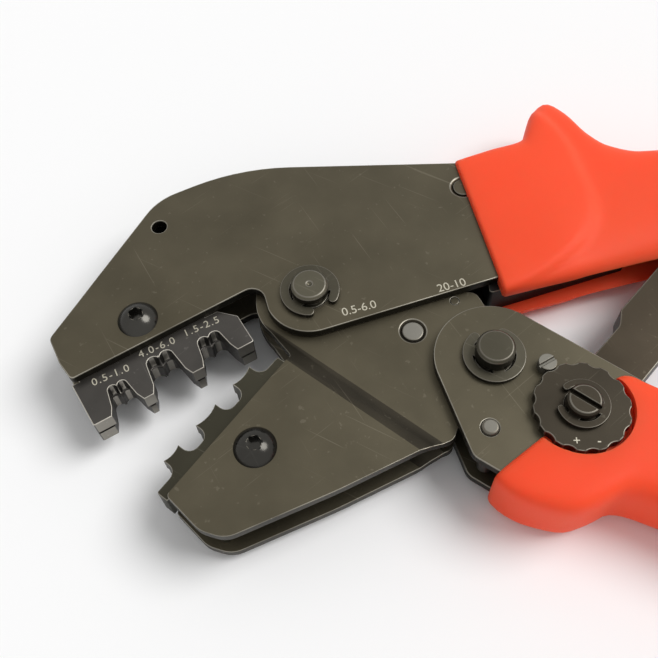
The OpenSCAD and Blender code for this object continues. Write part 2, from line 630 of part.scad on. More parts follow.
// Ratchet pawl on its pin, with a tail for the spring
module ratchet_pawl() {
    color(bright_steel) lift() at(pawl_p) slab(-pawl_t / 2, pawl_t / 2) difference() {
        union() {
            circle(3);
            rotate(pawl_a + 180) polygon([[0, -2.6], [pawl_l - 1.6, -1.5], [pawl_l, 0],
                [pawl_l - 1.6, 1.5], [0, 2.6]]);
            rotate(tail_a) translate([0, -1.4]) square([pawl_tail_l, 2.8]);
            translate(pawl_tail) circle(1.4);
        }
        circle(pawl_pin_d / 2 + run_clear);
        translate(pawl_tail) circle(tail_hole_r);
    }
}
module pawl_pin() {
    color(steel) lift() at(pawl_p, -out_z) {
        cylinder(h = 2 * out_z + 0.3, d = pawl_pin_d);
        translate([0, 0, 2 * out_z + 0.3]) cylinder(h = 0.3, r1 = pawl_pin_d / 2, r2 = pawl_pin_d / 2 - 0.3);
    }
}
module spring_post() { color(steel) lift() at(spring_post_p, -out_z) cylinder(h = 2 * out_z, r = post_r); }
module pawl_spring() {
    wire = 0.25;
    tail_p = pawl_p + pawl_tail;
    start = tail_p + 1.95 * unit(spring_post_p - tail_p);
    color(bright_steel) lift() coil(start, spring_post_p, 0.3, post_r + wire + 0.05, 1, 2.4, 1.2, wire, 7);
}

// Return spring in the head: from the frame's rivet to a pin in the jaw's ear
module jaw_spring_pin() {
    color(steel) lift() at(spring_hook_p, -jaw_out_z) cylinder(h = 2 * jaw_out_z, r = hook_pin_r);
}
module return_spring() {
    wire = 0.4;
    color(bright_steel) lift() coil(anchor_p, spring_hook_p, rivet_d / 2 + wire + 0.05,
        hook_pin_r + wire + 0.05, 4.6, 6.5, 2.2, wire, 10);
}

frame_plate_front();
frame_plate_back();
frame_spacer();
frame_rivets();
upper_die();
upper_die_screw();
main_pivot_pin();
main_pivot_clip();
arm_pivot_pin();
upper_grip();
jaw_plate_front();
jaw_plate_back();
jaw_spacers();
jaw_rivet();
lower_die();
lower_die_screw();
handle_plate_front();
handle_plate_back();
handle_spacer();
handle_rivets();
handle_pivot_pin();
handle_pivot_clip();
lower_grip();
eccentric_bolt();
adjusting_wheel();
wheel_clip();
lock_screw();
thrust_arm();
ratchet_pawl();
pawl_pin();
pawl_spring();
spring_post();
jaw_spring_pin();
return_spring();
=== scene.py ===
import math

import bmesh
import bpy
import numpy as np
from mathutils import Matrix, Vector


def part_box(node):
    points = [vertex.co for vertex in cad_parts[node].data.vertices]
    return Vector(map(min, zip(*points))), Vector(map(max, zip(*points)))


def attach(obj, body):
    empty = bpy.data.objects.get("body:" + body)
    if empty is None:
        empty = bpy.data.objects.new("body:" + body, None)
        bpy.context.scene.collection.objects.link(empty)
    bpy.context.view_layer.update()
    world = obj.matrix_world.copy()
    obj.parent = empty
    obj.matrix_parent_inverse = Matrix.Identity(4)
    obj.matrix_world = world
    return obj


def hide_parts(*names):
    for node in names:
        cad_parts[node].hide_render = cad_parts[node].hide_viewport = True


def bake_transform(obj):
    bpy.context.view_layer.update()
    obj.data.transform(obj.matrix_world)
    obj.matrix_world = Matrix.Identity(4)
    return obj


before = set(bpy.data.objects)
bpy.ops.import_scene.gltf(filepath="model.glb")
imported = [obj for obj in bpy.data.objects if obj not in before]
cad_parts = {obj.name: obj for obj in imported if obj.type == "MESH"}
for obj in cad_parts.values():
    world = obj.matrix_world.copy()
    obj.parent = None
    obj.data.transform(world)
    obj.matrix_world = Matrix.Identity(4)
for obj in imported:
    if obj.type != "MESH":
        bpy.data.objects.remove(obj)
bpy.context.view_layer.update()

# The two frame plates are stamped from 2 mm steel and burnished to a dark brownish grey.
# Their sheared edges are broken and rubbed lighter by use.
MM = 0.001
pin_low, pin_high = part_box("main_pivot_pin")
plate_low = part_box("frame_plate_back")[0]
plate_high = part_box("frame_plate_front")[1]
pivot = Vector(((pin_low[0] + pin_high[0]) / 2, (pin_low[1] + pin_high[1]) / 2,
                (plate_low[2] + plate_high[2]) / 2))


def spot(x, y, z=0.0):
    """A point given in millimetres from the main pivot, on the tool's middle plane."""
    return pivot + Vector((x, y, z)) * MM


def set_node(tree, kind, **inputs):
    """A new shader node with some of its inputs set."""
    node = tree.nodes.new(kind)
    for key, value in inputs.items():
        node.inputs[key.replace("_", " ")].default_value = value
    return node


def steel_surface_group():
    """Cloudy burnish, fine grain, small specks and hairline scratches, for every steel piece."""
    group = bpy.data.node_groups.new("steel_surface", "ShaderNodeTree")
    for name in ("Cloud", "Grain", "Speck", "Scratch"):
        group.interface.new_socket(name=name, in_out="OUTPUT", socket_type="NodeSocketFloat")
    nodes, links = group.nodes, group.links
    out = nodes.new("NodeGroupOutput")
    shift = nodes.new("ShaderNodeAttribute")
    shift.attribute_name = "shift"
    own = nodes.new("ShaderNodeVectorMath")
    links.new(nodes.new("ShaderNodeTexCoord").outputs["Object"], own.inputs[0])
    links.new(shift.outputs["Fac"], own.inputs[1])
    place = own.outputs["Vector"]

    def noise(scale, detail, vector):
        texture = set_node(group, "ShaderNodeTexNoise", Scale=scale, Detail=detail)
        links.new(vector, texture.inputs["Vector"])
        return texture.outputs["Fac"]

    def slice_of(value, start, end):
        ramp = set_node(group, "ShaderNodeMapRange", From_Min=start, From_Max=end)
        links.new(value, ramp.inputs["Value"])
        return ramp.outputs["Result"]

    links.new(slice_of(noise(80.0, 5.0, place), 0.3, 0.7), out.inputs["Cloud"])
    links.new(noise(3500.0, 3.0, place), out.inputs["Grain"])
    links.new(slice_of(noise(900.0, 2.0, place), 0.68, 0.74), out.inputs["Speck"])
    total = None
    for turn, size in ((0.7, 0.014), (-0.5, 0.022), (2.1, 0.017)):
        slant = set_node(group, "ShaderNodeMapping", Rotation=(0.0, 0.0, turn), Scale=(size, size / 60.0, size))
        slant.vector_type = "TEXTURE"
        links.new(place, slant.inputs["Vector"])
        hair = slice_of(noise(1.0, 0.0, slant.outputs["Vector"]), 0.8, 0.84)
        if total is None:
            total = hair
            continue
        join = nodes.new("ShaderNodeMath")
        join.operation = "MAXIMUM"
        links.new(total, join.inputs[0])
        links.new(hair, join.inputs[1])
        total = join.outputs[0]
    links.new(total, out.inputs["Scratch"])
    return group


steel_surface = steel_surface_group()


def steel(name, dark, light, scored, roughness, metallic=0.85, scratches=0.3, specks=0.25, bump=0.1):
    """A steel finish: two tones clouded together, specks and scratches of a third, grain in the gloss."""
    mat = bpy.data.materials.new(name)
    mat.use_nodes = True
    tree = mat.node_tree
    shader = tree.nodes["Principled BSDF"]
    shader.inputs["Metallic"].default_value = metallic
    surface = tree.nodes.new("ShaderNodeGroup")
    surface.node_tree = steel_surface
    colour = None
    for mask, share, tint in (("Cloud", 1.0, light), ("Speck", specks, scored), ("Scratch", scratches, scored)):
        weight = tree.nodes.new("ShaderNodeMath")
        weight.operation = "MULTIPLY"
        weight.inputs[1].default_value = share
        tree.links.new(surface.outputs[mask], weight.inputs[0])
        mix = tree.nodes.new("ShaderNodeMix")
        mix.data_type = "RGBA"
        mix.inputs["A"].default_value = (*dark, 1.0)
        mix.inputs["B"].default_value = (*tint, 1.0)
        tree.links.new(weight.outputs[0], mix.inputs["Factor"])
        if colour is not None:
            tree.links.new(colour, mix.inputs["A"])
        colour = mix.outputs["Result"]
    tree.links.new(colour, shader.inputs["Base Color"])
    gloss = set_node(tree, "ShaderNodeMapRange", To_Min=roughness - 0.1, To_Max=roughness + 0.1)
    tree.links.new(surface.outputs["Grain"], gloss.inputs["Value"])
    tree.links.new(gloss.outputs["Result"], shader.inputs["Roughness"])
    relief = set_node(tree, "ShaderNodeBump", Strength=bump, Distance=0.00005)
    tree.links.new(surface.outputs["Grain"], relief.inputs["Height"])
    tree.links.new(relief.outputs["Normal"], shader.inputs["Normal"])
    return mat


burnished_steel = steel("burnished_steel", (0.066, 0.057, 0.037), (0.088, 0.076, 0.05), (0.19, 0.167, 0.125), 0.44)
# The sides of plates, pins, clips and the arm take a near-black finish: painted shade, standing in for the shade
# on them.
painted_shade_side = steel("painted_shade_side", (0.012, 0.0105, 0.007), (0.024, 0.021, 0.0145), (0.12, 0.107, 0.083), 0.46)
rubbed_edge = steel("rubbed_edge", (0.09, 0.08, 0.06), (0.32, 0.3, 0.25), (0.42, 0.4, 0.35), 0.36)
SHARP = math.radians(28)
PATTERN_STEP = 0.173  # metres from one piece's surface pattern to the next one's


def finished(name, bm, finishes, sharp=SHARP):
    """A smooth-shaded object at the origin from a bmesh, with its finishes in order."""
    mesh = bpy.data.meshes.new(name)
    bm.to_mesh(mesh)
    bm.free()
    for finish in finishes:
        mesh.materials.append(finish)
    shift = mesh.attributes.new("shift", "FLOAT", "POINT")
    shift.data.foreach_set("value", [PATTERN_STEP * len(finished.made)] * len(mesh.vertices))
    finished.made.append(name)
    piece = bpy.data.objects.new(name, mesh)
    bpy.context.scene.collection.objects.link(piece)
    mesh.shade_smooth()
    if sharp:
        mesh.set_sharp_from_angle(angle=sharp)
    return piece


finished.made = []
SIDEWAYS = 0.35  # the most that a side's normal tips up or down


def sheared(normal):
    """Whether a face is the sheared side of a plate."""
    return abs(normal.z) < SIDEWAYS


MERGE = 0.002 * MM  # corners of loose triangles this near become one
LEVEL = 0.01 * MM  # how near a rim lies to the front or back
FLAT = math.radians(0.6)  # triangles this level become one face
SEAM_FACING = 0.97
SEAM_ROUND = 0.4 * MM


def dressed(node, body, finish, edge_finish, edge=0.15, rim=False, clamp=True, other=None, where=sheared,
            seam=None):
    """A CAD node with its sharp edges broken and rubbed, or only those round its front and back faces.

    Some of its faces may have another finish, such as painted shade on the sheared sides or a painted highlight on
    faces that look one way, and so have the edges of the side that looks along seam, which are rounded more; on
    the jaw plates that finish is a painted shadow line along the die.
    """
    bm = bmesh.new()
    bm.from_mesh(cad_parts[node].data)
    bmesh.ops.remove_doubles(bm, verts=bm.verts, dist=MERGE)
    bmesh.ops.dissolve_limit(bm, angle_limit=FLAT, verts=bm.verts, edges=bm.edges)
    edges = [e for e in bm.edges if e.is_manifold and e.calc_face_angle(0.0) > SHARP]
    if rim:
        faces = [c[2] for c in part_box(node)]
        edges = [e for e in edges if any(all(abs(v.co.z - z) < LEVEL for v in e.verts) for z in faces)]
    if other:
        bm.normal_update()
        for face in bm.faces:
            face.material_index = 2 if where(face.normal) else 0
    # The edges of the side that looks along seam are rounded and take the other finish; on the jaw plates this
    # dark rounding is a painted shadow line between plate and die.
    if seam:
        soft = [e for e in edges if any(f.normal.dot(seam) > SEAM_FACING for f in e.link_faces)]
        made = bmesh.ops.bevel(bm, geom=soft, offset=SEAM_ROUND, offset_type="OFFSET", segments=4, profile=0.5,
                               affect="EDGES", clamp_overlap=True, material=2)
        round_verts = {v for face in made["faces"] for v in face.verts}
        edges = [e for e in bm.edges if e.is_manifold and e.calc_face_angle(0.0) > SHARP
                 and not round_verts.issuperset(e.verts)]
    bmesh.ops.bevel(bm, geom=edges, offset=edge * MM, offset_type="OFFSET", segments=2, profile=0.5,
                    affect="EDGES", clamp_overlap=clamp, material=1)
    piece = finished(node + "_finished", bm, (finish, edge_finish, other) if other else (finish, edge_finish))
    piece.modifiers.new("flat_faces", "WEIGHTED_NORMAL").keep_sharp = True
    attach(piece, body)
    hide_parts(node)


# Their sheared sides take the near-black painted shade.
for node in ("frame_plate_front", "frame_plate_back"):
    dressed(node, "frame", burnished_steel, rubbed_edge, edge=0.2, clamp=False, other=painted_shade_side)

# The wire range the tool takes is etched on the front plate as plain numbers, in the metal's own
# bright colour. The etching is a few hundredths of a millimetre thick.
etched = steel("etched", (0.4, 0.37, 0.29), (0.5, 0.47, 0.38), (0.14, 0.125, 0.095), 0.5, metallic=0.4, specks=0.8)
plate_face = (plate_high[2] - plate_low[2]) / 2 / MM
DIGIT_SHARE = 0.7  # a digit's height in the size of its font
ETCH = 0.01
ETCH_LIFT = 0.012


def marking(name, words, x, y, turn, height, face, body, spread=1.0):
    """Etched numbers or signs, centred on a point of a flat face."""
    curve = bpy.data.curves.new(name, "FONT")
    curve.body = words
    curve.size = height / DIGIT_SHARE * MM
    curve.align_x = "CENTER"
    curve.space_character = spread
    curve.extrude = ETCH * MM
    carrier = bpy.data.objects.new(name + "_curve", curve)
    bpy.context.scene.collection.objects.link(carrier)
    mesh = bpy.data.meshes.new_from_object(carrier.evaluated_get(bpy.context.evaluated_depsgraph_get()))
    bpy.data.objects.remove(carrier)
    bpy.data.curves.remove(curve)
    mesh.transform(Matrix.Translation(spot(x, y, face + ETCH_LIFT)) @ Matrix.Rotation(math.radians(turn), 4, "Z"))
    mesh.materials.clear()
    mesh.materials.append(etched)
    piece = bpy.data.objects.new(name, mesh)
    bpy.context.scene.collection.objects.link(piece)
    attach(piece, body)


range_turn, range_height = 15.7, 1.7
marking("range_metric", "0.5-6.0", 9.4, -4.5, range_turn, range_height, plate_face, "frame")
marking("range_gauge", "20-10", 26.9, 0.2, range_turn, range_height, plate_face, "frame")

# A blackened bar and an end block keep the frame plates apart, with a short sleeve round the hole in the
# nose, and flush rivets close the sandwich. The thrust arm's upper pin goes through both plates.
blackened_steel = steel("blackened_steel", (0.008, 0.008, 0.008), (0.02, 0.019, 0.017), (0.07, 0.065, 0.055), 0.5)
dull_edge = steel("dull_edge", (0.1, 0.09, 0.072), (0.16, 0.148, 0.122), (0.24, 0.225, 0.19), 0.42)
dressed("frame_spacer", "frame", blackened_steel, dull_edge)
nose_x, nose_y, nose_bore = -30.3, 16.2, 1.5
sleeve_ratio = 2.0
sleeve_bm = bmesh.new()
bmesh.ops.create_circle(sleeve_bm, cap_ends=False, segments=48, radius=nose_bore * MM)
wall = bmesh.ops.extrude_edge_only(sleeve_bm, edges=sleeve_bm.edges[:])["geom"]
outer = [v for v in wall if isinstance(v, bmesh.types.BMVert)]
bmesh.ops.scale(sleeve_bm, vec=(sleeve_ratio, sleeve_ratio, 1.0), verts=outer)
flat = bmesh.ops.extrude_face_region(sleeve_bm, geom=sleeve_bm.faces[:])["geom"]
gap = (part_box("frame_plate_front")[0][2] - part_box("frame_plate_back")[1][2]) / MM
raised = [v for v in flat if isinstance(v, bmesh.types.BMVert)]
bmesh.ops.translate(sleeve_bm, vec=(0.0, 0.0, gap * MM), verts=raised)
bmesh.ops.translate(sleeve_bm, vec=spot(nose_x, nose_y, -gap / 2), verts=sleeve_bm.verts)
bmesh.ops.recalc_face_normals(sleeve_bm, faces=sleeve_bm.faces)
sleeve = finished("nose_sleeve", sleeve_bm, (blackened_steel,))
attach(sleeve, "frame")
dressed("frame_rivets", "frame", burnished_steel, dull_edge, edge=0.2)
dressed("arm_pivot_pin", "frame", burnished_steel, dull_edge, edge=0.2)

# The dies are hardened tool steel, ground on their faces, with bright lines along the nest edges.
# Each nest of the fixed die carries its wire size as plain numbers.
ground_steel = steel("ground_steel", (0.043, 0.04, 0.036), (0.075, 0.069, 0.062), (0.2, 0.187, 0.168), 0.4)
die_black = steel("die_black", (0.03, 0.0275, 0.018), (0.042, 0.0385, 0.0255), (0.13, 0.12, 0.09), 0.42)
bright_edge = steel("bright_edge", (0.36, 0.335, 0.285), (0.55, 0.52, 0.46), (0.65, 0.63, 0.57), 0.34)
painted_light_tip = steel("painted_light_tip", (0.2, 0.185, 0.16), (0.34, 0.32, 0.28), (0.5, 0.48, 0.43), 0.36)
die_turn = math.radians(31.0)
die_down = Vector((math.sin(die_turn), -math.cos(die_turn), 0.0))
# The fixed die's faces that look down towards the jaw take a lighter finish: a painted highlight for the light
# falling on them from the front.
dressed("upper_die", "frame", ground_steel, bright_edge, edge=0.15, rim=True, clamp=False,
        other=painted_light_tip, where=lambda normal: normal.dot(die_down) > 0.9)
dressed("lower_die", "jaw", die_black, rubbed_edge, edge=0.12, rim=True, clamp=False)
die_face = (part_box("upper_die")[1][2] - pivot.z) / MM
die_x, die_y = -38.2, -25.9
size_turn, size_height, size_spread = 26.0, 1.5, 1.2
for name, words, u, v in (("size_small", "0.5-1.0", 6.6, 7.0), ("size_large", "4.0-6.0", 16.3, 7.75),
                          ("size_middle", "1.5-2.5", 25.4, 7.35)):
    x = die_x + u * math.cos(die_turn) - v * math.sin(die_turn)
    y = die_y + u * math.sin(die_turn) + v * math.cos(die_turn)
    marking(name, words, x, y, size_turn, size_height, die_face, "frame", size_spread)

# Button-head screws with six-sided sockets hold the dies, one in each. They are steel, blackened and
# polished on the dome.
screw_black = steel("screw_black", (0.036, 0.0345, 0.031), (0.05, 0.048, 0.043), (0.09, 0.087, 0.08), 0.2,
                    metallic=1.0, scratches=0.15, specks=0.1, bump=0.02)
dressed("upper_die_screw", "frame", screw_black, dull_edge, edge=0.12, rim=True, clamp=False)
dressed("lower_die_screw", "jaw", screw_black, dull_edge, edge=0.12, rim=True, clamp=False)

# The pivot pins are turned steel with chamfered ends, held by open spring-steel clips that sit
# in a groove on the front. All of them are burnished like the plates.
turned_steel = steel("turned_steel", (0.07, 0.063, 0.043), (0.095, 0.087, 0.062), (0.18, 0.165, 0.125), 0.4)
clip_steel = steel("clip_steel", (0.05, 0.045, 0.031), (0.072, 0.065, 0.046), (0.15, 0.137, 0.104), 0.42)
# The sides of the main pin and its clip take the near-black painted shade.
dressed("main_pivot_pin", "frame", turned_steel, dull_edge, edge=0.15, other=painted_shade_side)
dressed("main_pivot_clip", "frame", clip_steel, dull_edge, edge=0.15, rim=True, clamp=False,
        other=painted_shade_side)

# The moving jaw is two plates pressed into a joggle, so that its nose lies level with the frame
# plates while its root runs between them. Rings and a rivet keep the two plates apart.
LYING = 0.93  # a face with a steeper normal than this lies flat


def bent_or_sheared(normal):
    """Whether a face is a plate's sheared side or the slope of its joggle; both take a painted shade."""
    return abs(normal.z) < LYING


# The jaw plates' sides and the slope of their joggle take a near-black finish: painted shade, standing in for the
# shade there.
painted_shade_slope = steel("painted_shade_slope", (0.022, 0.0185, 0.0125), (0.04, 0.034, 0.023), (0.13, 0.112, 0.082), 0.46)
# The jaw plates' edge towards the die is rounded and darkened: a painted shadow line along the die.
jaw_turn = math.radians(52.5)
jaw_up = Vector((-math.sin(jaw_turn), math.cos(jaw_turn), 0.0))
for node in ("jaw_plate_front", "jaw_plate_back"):
    dressed(node, "jaw", burnished_steel, rubbed_edge, edge=0.12, clamp=False, other=painted_shade_slope,
            where=bent_or_sheared, seam=jaw_up)
dressed("jaw_spacers", "jaw", blackened_steel, dull_edge)
rivet_steel = steel("rivet_steel", (0.13, 0.124, 0.105), (0.2, 0.19, 0.165), (0.28, 0.27, 0.24), 0.45, specks=0.6)
dressed("jaw_rivet", "jaw", rivet_steel, dull_edge, edge=0.2)
dressed("jaw_spring_pin", "jaw", burnished_steel, dull_edge)

# The return spring opens the jaw. It is a coil of spring wire in the head, hooked over the frame's
# front rivet and over a pin in the jaw's ear, so it stretches as the jaw closes.
spring_steel = steel("spring_steel", (0.2, 0.19, 0.17), (0.3, 0.29, 0.26), (0.4, 0.39, 0.36), 0.32, metallic=0.9)


def spring(node):
    """A CAD coil with its wire made round."""
    bm = bmesh.new()
    bm.from_mesh(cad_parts[node].data)
    bmesh.ops.remove_doubles(bm, verts=bm.verts, dist=MERGE)
    piece = finished(node + "_wire", bm, (spring_steel,), sharp=None)
    rounder = piece.modifiers.new("round_wire", "SUBSURF")
    rounder.levels = rounder.render_levels = 1
    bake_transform(piece)
    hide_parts(node)


spring("return_spring")

# The moving handle's plates carry its pivot, the pawl pin and the eccentric bolt, and run back
# inside the grip to a spacer and two rivets.
# The sides of the handle plates, pivot pin and clip take the near-black painted shade.
for node in ("handle_plate_front", "handle_plate_back"):
    dressed(node, "handle", burnished_steel, rubbed_edge, edge=0.2, clamp=False, other=painted_shade_side)
dressed("handle_spacer", "handle", blackened_steel, dull_edge)
dressed("handle_rivets", "handle", burnished_steel, dull_edge)
dressed("handle_pivot_pin", "handle", clip_steel, dull_edge, edge=0.15, other=painted_shade_side)
dressed("handle_pivot_clip", "handle", clip_steel, dull_edge, edge=0.15, rim=True, clamp=False,
        other=painted_shade_side)
dressed("pawl_pin", "handle", rivet_steel, dull_edge, edge=0.2)
dressed("spring_post", "handle", burnished_steel, dull_edge)

# The crimping force is set by an eccentric bolt with a scalloped wheel on its front end. A small
# slotted screw stands in one scallop and locks the wheel, and a clip keeps it on the bolt.
wheel_steel = steel("wheel_steel", (0.026, 0.021, 0.014), (0.038, 0.031, 0.021), (0.12, 0.108, 0.082), 0.44)
dressed("eccentric_bolt", "handle", wheel_steel, dull_edge, edge=0.15, rim=True, clamp=False)
dressed("adjusting_wheel", "handle", wheel_steel, dull_edge, edge=0.2)
dressed("wheel_clip", "handle", wheel_steel, dull_edge, edge=0.12)
dressed("lock_screw", "handle", rivet_steel, dull_edge, edge=0.15, rim=True, clamp=False)
wheel_low, wheel_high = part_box("adjusting_wheel")
wheel_x = ((wheel_low[0] + wheel_high[0]) / 2 - pivot.x) / MM
wheel_y = ((wheel_low[1] + wheel_high[1]) / 2 - pivot.y) / MM
wheel_face = (wheel_high[2] - pivot.z) / MM
sign_y, sign_height = wheel_y - 7.2, 1.6
marking("sign_more", "+", wheel_x - 1.9, sign_y, 0.0, sign_height, wheel_face, "handle")
marking("sign_less", "-", wheel_x + 1.8, sign_y, 0.0, sign_height, wheel_face, "handle")

# The thrust arm is a thick link between the eccentric and the fixed handle, with ratchet teeth
# round its lower end. A small sprung pawl rides over the teeth.
arm_steel = steel("arm_steel", (0.032, 0.0245, 0.0155), (0.046, 0.0355, 0.0235), (0.13, 0.11, 0.08), 0.44)
# The arm's sides take the near-black painted shade.
dressed("thrust_arm", "arm", arm_steel, dull_edge, edge=0.2, other=painted_shade_side)
dressed("ratchet_pawl", "pawl", ground_steel, rubbed_edge)
spring("pawl_spring")

# The grips are moulded in a soft orange-red plastic over the plates. A grip is drawn out slice by
# slice along the handle: each slice runs from its belly to its back and is rounded to both faces.
def grip_material():
    """Soft orange-red plastic: a faint cloudiness, a fine skin texture and a satin gloss."""
    mat = bpy.data.materials.new("grip_red")
    mat.use_nodes = True
    tree = mat.node_tree
    shader = tree.nodes["Principled BSDF"]
    shader.inputs["Specular IOR Level"].default_value = 0.15
    shader.inputs["Subsurface Weight"].default_value = 0.5
    shader.inputs["Subsurface Radius"].default_value = (1.0, 0.12, 0.06)
    shader.inputs["Subsurface Scale"].default_value = 0.006
    place = tree.nodes.new("ShaderNodeTexCoord").outputs["Object"]
    cloud = set_node(tree, "ShaderNodeTexNoise", Scale=45.0, Detail=3.0)
    tree.links.new(place, cloud.inputs["Vector"])
    tone = tree.nodes.new("ShaderNodeMix")
    tone.data_type = "RGBA"
    tone.inputs["A"].default_value = (0.93, 0.076, 0.025, 1.0)
    tone.inputs["B"].default_value = (0.97, 0.095, 0.034, 1.0)
    tree.links.new(cloud.outputs["Fac"], tone.inputs["Factor"])
    tree.links.new(tone.outputs["Result"], shader.inputs["Base Color"])
    skin = set_node(tree, "ShaderNodeTexNoise", Scale=2400.0, Detail=2.0)
    tree.links.new(place, skin.inputs["Vector"])
    gloss = set_node(tree, "ShaderNodeMapRange", To_Min=0.42, To_Max=0.58)
    tree.links.new(skin.outputs["Fac"], gloss.inputs["Value"])
    tree.links.new(gloss.outputs["Result"], shader.inputs["Roughness"])
    relief = set_node(tree, "ShaderNodeBump", Strength=0.15, Distance=0.00005)
    tree.links.new(skin.outputs["Fac"], relief.inputs["Height"])
    tree.links.new(relief.outputs["Normal"], shader.inputs["Normal"])
    return mat


grip_red = grip_material()
SLOT = 3.6


def fair(keys, values, where):
    """A smooth line through a few values, without overshoot, at the places asked for."""
    keys, values = np.array(keys, float), np.array(values, float)
    steps = np.diff(values) / np.diff(keys)
    turns = steps[:-1] * steps[1:]
    inner = np.where(turns > 0, 2 * turns / np.where(turns > 0, steps[:-1] + steps[1:], 1.0), 0.0)
    slopes = np.concatenate(([steps[0]], inner, [steps[-1]]))
    k = np.clip(np.searchsorted(keys, where) - 1, 0, len(keys) - 2)
    h = keys[k + 1] - keys[k]
    t = (where - keys[k]) / h
    return ((1 + 2 * t) * (1 - t) ** 2 * values[k] + t * (1 - t) ** 2 * h * slopes[k]
            + t * t * (3 - 2 * t) * values[k + 1] + t * t * (t - 1) * h * slopes[k + 1])


def grip_ring(belly, back, half, fullness, slot_depth, sides):
    """One slice of a grip: its rounded outline, with the slot for the thrust arm let into its belly."""
    middle, arm = (belly + back) / 2, (back - belly) / 2
    rim = math.asin(min(1.0, SLOT / half) ** (fullness / 2))
    points = []
    for i in range(sides):
        a = (math.pi - rim) * (1 - 2 * i / (sides - 1))
        c, s = math.cos(a), math.sin(a)
        along = middle + arm * math.copysign(abs(c) ** (2 / fullness), c)
        points.append(spot(along[0], along[1], half * math.copysign(abs(s) ** (2 / fullness), s)))
    roof = belly + (back - belly) * slot_depth if slot_depth > 0 else belly
    wide = SLOT if slot_depth > 0 else SLOT / 2
    return points + [spot(roof[0], roof[1], -wide), spot(roof[0], roof[1], wide)]


def drawn_grip(slices, sides=62):
    """A grip from its slices: a ring of points, drawn out from each slice to the next and closed."""
    bm = bmesh.new()
    ring = bmesh.ops.create_circle(bm, cap_ends=True, segments=sides + 2, radius=1.0)["verts"]
    edges = list({e for v in ring for e in v.link_edges})
    for i, piece in enumerate(slices):
        if i:
            made = bmesh.ops.extrude_edge_only(bm, edges=edges)["geom"]
            edges = [g for g in made if isinstance(g, bmesh.types.BMEdge) and g.is_boundary]
            twins = {v.co.to_tuple(9): v for v in made if isinstance(v, bmesh.types.BMVert)}
            ring = [twins[v.co.to_tuple(9)] for v in ring]
        for v, place in zip(ring, grip_ring(*piece, sides)):
            v.co = place
    bmesh.ops.holes_fill(bm, edges=edges, sides=0)
    bmesh.ops.recalc_face_normals(bm, faces=bm.faces)
    return bm


def rounded_ends(belly, back, half, along, front_round, end_round):
    """Draws the first and last slices in, so that both ends of the grip are rounded."""
    front = np.clip(1 - along / front_round, 0, 1)
    inset = front_round * (1 - np.sqrt(1 - front ** 2))
    rest = np.clip(1 - (along[-1] - along) / end_round, 0, 0.999)
    keep = np.sqrt(1 - rest ** 2)
    middle, arm = (belly + back) / 2, (back - belly) / 2
    reach = np.linalg.norm(arm, axis=1)
    arm = arm * ((reach - inset) / reach * keep)[:, None]
    return middle - arm, middle + arm, (half - inset) * (0.25 + 0.75 * keep)


def grip_stations(length, front_round, end_round, extra=()):
    """Places along a grip: close together at both rounded ends, about a millimetre apart between."""
    front = front_round * (1 - np.cos(np.linspace(0, math.pi / 2, 5)))
    end = length - end_round * (1 - np.sin(np.linspace(0, math.pi / 2, 14)))
    body = np.arange(front_round + 0.9, length - end_round - 0.6, 1.0)
    return np.unique(np.concatenate((front, body, end, extra)))


def lengths_along(guides):
    """How far each guide slice lies along the grip's middle line."""
    middles = (guides[:, :2] + guides[:, 2:]) / 2
    return np.concatenate(([0], np.cumsum(np.hypot(*np.diff(middles, axis=0).T))))


def faired_sides(guides, keys, along):
    """Belly and back of a grip at each place along it, faired through its guide slices."""
    lines = [fair(keys, guides[:, i], along) for i in range(4)]
    return np.stack(lines[:2], axis=1), np.stack(lines[2:], axis=1)


LIP = 0.7  # radians between the two faces of a sharp rim
LIP_ROUND = 0.3 * MM


def soften_lips(bm):
    """Rounds a grip's sharp rims, such as those of its slot."""
    lips = [e for e in bm.edges if e.is_manifold and e.calc_face_angle(0.0) > LIP]
    bmesh.ops.bevel(bm, geom=lips, offset=LIP_ROUND, offset_type="OFFSET", segments=3, profile=0.5, affect="EDGES",
                    clamp_overlap=True, material=-1)


GRIP_SHARP = math.radians(50)


# The fixed grip has a thumb guard on its back. Its front part is a raised collar that starts thin on
# the plates and ends in a soft curved step, and a slot in its belly lets the thrust arm swing.
upper_guides = np.array([
    (36.4, -0.8, 29.4, 31.4), (44.0, 1.2, 36.8, 34.2), (50.4, 2.8, 43.8, 36.9), (52.0, 3.3, 45.0, 40.2),
    (53.8, 3.8, 46.8, 45.0), (56.6, 4.5, 50.2, 48.3), (59.8, 5.3, 53.4, 45.8), (63.4, 6.2, 57.0, 40.2),
    (67.6, 7.2, 61.0, 36.4), (74.0, 8.9, 67.4, 34.4), (88.0, 12.6, 81.0, 35.2), (115.0, 18.8, 110.5, 39.8),
    (152.0, 26.6, 148.2, 46.4), (173.0, 31.4, 169.4, 50.0)])
upper_keys = lengths_along(upper_guides)
front_round, end_round = 0.6, 9.0
slot_end = 68.0
along = grip_stations(upper_keys[-1], front_round, end_round, (slot_end - 0.02, slot_end + 0.02))
belly, back = faired_sides(upper_guides, upper_keys, along)
half = fair((0, 6, 17, 24, 60, 140), (6.6, 7.2, 7.95, 7.98, 7.98, 7.98), along)
fullness = fair((0, 8, 20, 40, 140), (12, 8, 5, 3.6, 3.0), along)
roof = np.interp(belly[:, 0], (20, 60, 105), (8, 22, 34))
slot = np.where(along < slot_end, (roof - belly[:, 1]) / (back[:, 1] - belly[:, 1]), 0.0)
belly, back, half = rounded_ends(belly, back, half, along, front_round, end_round)
bm = drawn_grip(zip(belly, back, half, fullness, slot))
crest_x, crest_y = 55.8, 18
belly_curve, back_curve = 0.05, 0.012
step_wide, step_share, step_fade = 2.8, 0.13, 45.0
